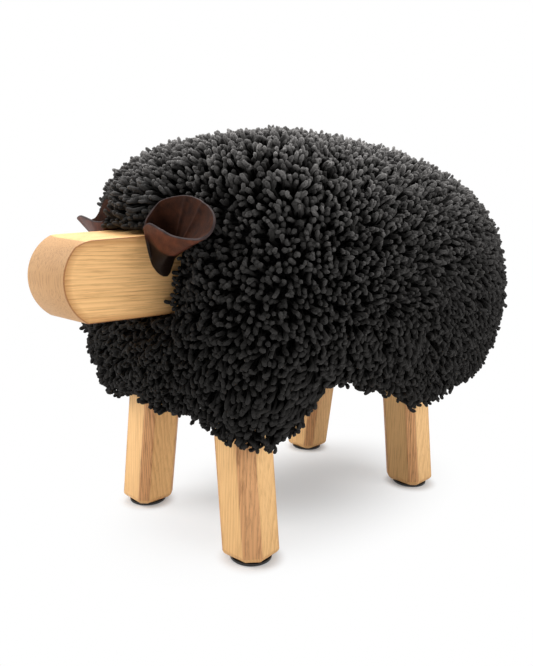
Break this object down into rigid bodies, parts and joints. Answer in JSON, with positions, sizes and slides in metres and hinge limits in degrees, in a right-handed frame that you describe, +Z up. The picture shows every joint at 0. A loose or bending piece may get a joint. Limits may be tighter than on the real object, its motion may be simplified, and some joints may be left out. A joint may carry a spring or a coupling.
{
  "type": "animal footstool",
  "caption": "Low upholstered footstool in the form of a sheep, with a shaggy black pile cover, a plain timber head block, timber legs that splay sideways, and curled leather ears.",
  "frame": {"origin": "on the floor, under the middle of the box round the whole footstool", "axes": "+Z up from the floor; the animal faces -Y, so +Y is the rump; +X is the animal's left side"},
  "size_m": [0.32, 0.54, 0.389],
  "materials": {
    "oak": "satin lacquer",
    "plywood": "raw",
    "steel": "zinc plated",
    "brass": "satin",
    "black_plastic": "matt",
    "upholstery_foam": "open-cell foam",
    "wadding_fibre": "fibre fleece",
    "backing_cloth": "woven",
    "black_fleece": "shaggy pile",
    "dust_cloth": "non-woven",
    "brown_leather": "smooth, waxed"
  },
  "bodies": {
    "root": {"seat_board": "plywood", "neck_block": "oak", "head": "oak", "head_screw_front": "steel", "head_screw_rear": "steel", "foam_core": "upholstery_foam", "wadding": "wadding_fibre", "cover_backing": "backing_cloth", "fleece_pile": "black_fleece", "dust_cover": "dust_cloth", "leg_front_left": "oak", "leg_bolt_front_left": "steel", "leg_washer_front_left": "steel", "glide_front_left": "black_plastic", "leg_front_right": "oak", "leg_bolt_front_right": "steel", "leg_washer_front_right": "steel", "glide_front_right": "black_plastic", "leg_rear_left": "oak", "leg_bolt_rear_left": "steel", "leg_washer_rear_left": "steel", "glide_rear_left": "black_plastic", "leg_rear_right": "oak", "leg_bolt_rear_right": "steel", "leg_washer_rear_right": "steel", "glide_rear_right": "black_plastic", "cover_tack_1": "steel", "cover_tack_2": "steel", "cover_tack_3": "steel", "cover_tack_4": "steel", "cover_tack_5": "steel", "cover_tack_6": "steel", "cover_tack_7": "steel", "cover_tack_8": "steel", "cover_tack_9": "steel", "cover_tack_10": "steel", "ear_left": "brown_leather", "ear_tack_left": "brass", "ear_right": "brown_leather", "ear_tack_right": "brass"}
  },
  "joints": []
}
